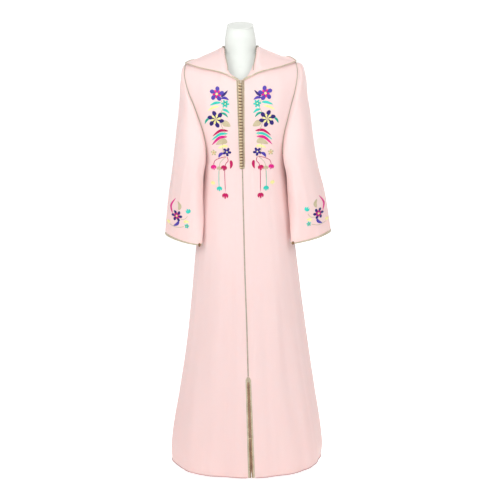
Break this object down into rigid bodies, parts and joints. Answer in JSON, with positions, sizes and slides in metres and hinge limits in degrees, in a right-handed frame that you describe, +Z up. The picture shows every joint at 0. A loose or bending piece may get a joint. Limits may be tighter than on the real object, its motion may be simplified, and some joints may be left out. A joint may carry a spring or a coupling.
{
  "type": "djellaba robe on a dress form",
  "caption": "Long-sleeved, hooded, front-buttoned djellaba robe in pink crepe with braid trims and a front hem slit, on a limbless white dress form with a round base.",
  "frame": {"origin": "centre of the underside of the form's round base, on the floor", "axes": "+Z up, the robe's front faces -Y, the wearer's left is +X"},
  "size_m": [0.5827, 0.4589, 1.5324],
  "materials": {
    "crepe": "matt pale pink crepe",
    "braid": "beige gold thread braid",
    "cord": "olive grey twisted cord",
    "knot": "golden knotted cord",
    "form": "smooth white",
    "stand": "satin white"
  },
  "bodies": {
    "root": {"back": "crepe", "neck_cord": "cord", "front_cord": "cord", "front_left": "crepe", "sleeve_left": "crepe", "hood_left": "crepe", "hood_braid_left": "braid", "armhole_cord_left": "cord", "cuff_braid_left": "braid", "placket_braid_left": "braid", "slit_braid_left": "braid", "front_right": "crepe", "sleeve_right": "crepe", "hood_right": "crepe", "hood_braid_right": "braid", "armhole_cord_right": "cord", "cuff_braid_right": "braid", "placket_braid_right": "braid", "slit_braid_right": "braid", "button_01": "knot", "button_02": "knot", "button_03": "knot", "button_04": "knot", "button_05": "knot", "button_06": "knot", "button_07": "knot", "button_08": "knot", "button_09": "knot", "button_10": "knot", "button_11": "knot", "button_12": "knot", "button_13": "knot", "button_14": "knot", "button_15": "knot", "button_16": "knot", "button_17": "knot", "button_18": "knot", "button_19": "knot", "button_20": "knot", "button_21": "knot", "button_22": "knot", "button_23": "knot", "button_24": "knot", "button_25": "knot", "button_26": "knot", "button_27": "knot", "button_28": "knot", "button_29": "knot", "form_torso": "form", "form_cap": "form", "form_pole": "stand", "form_base": "stand"}
  },
  "joints": []
}
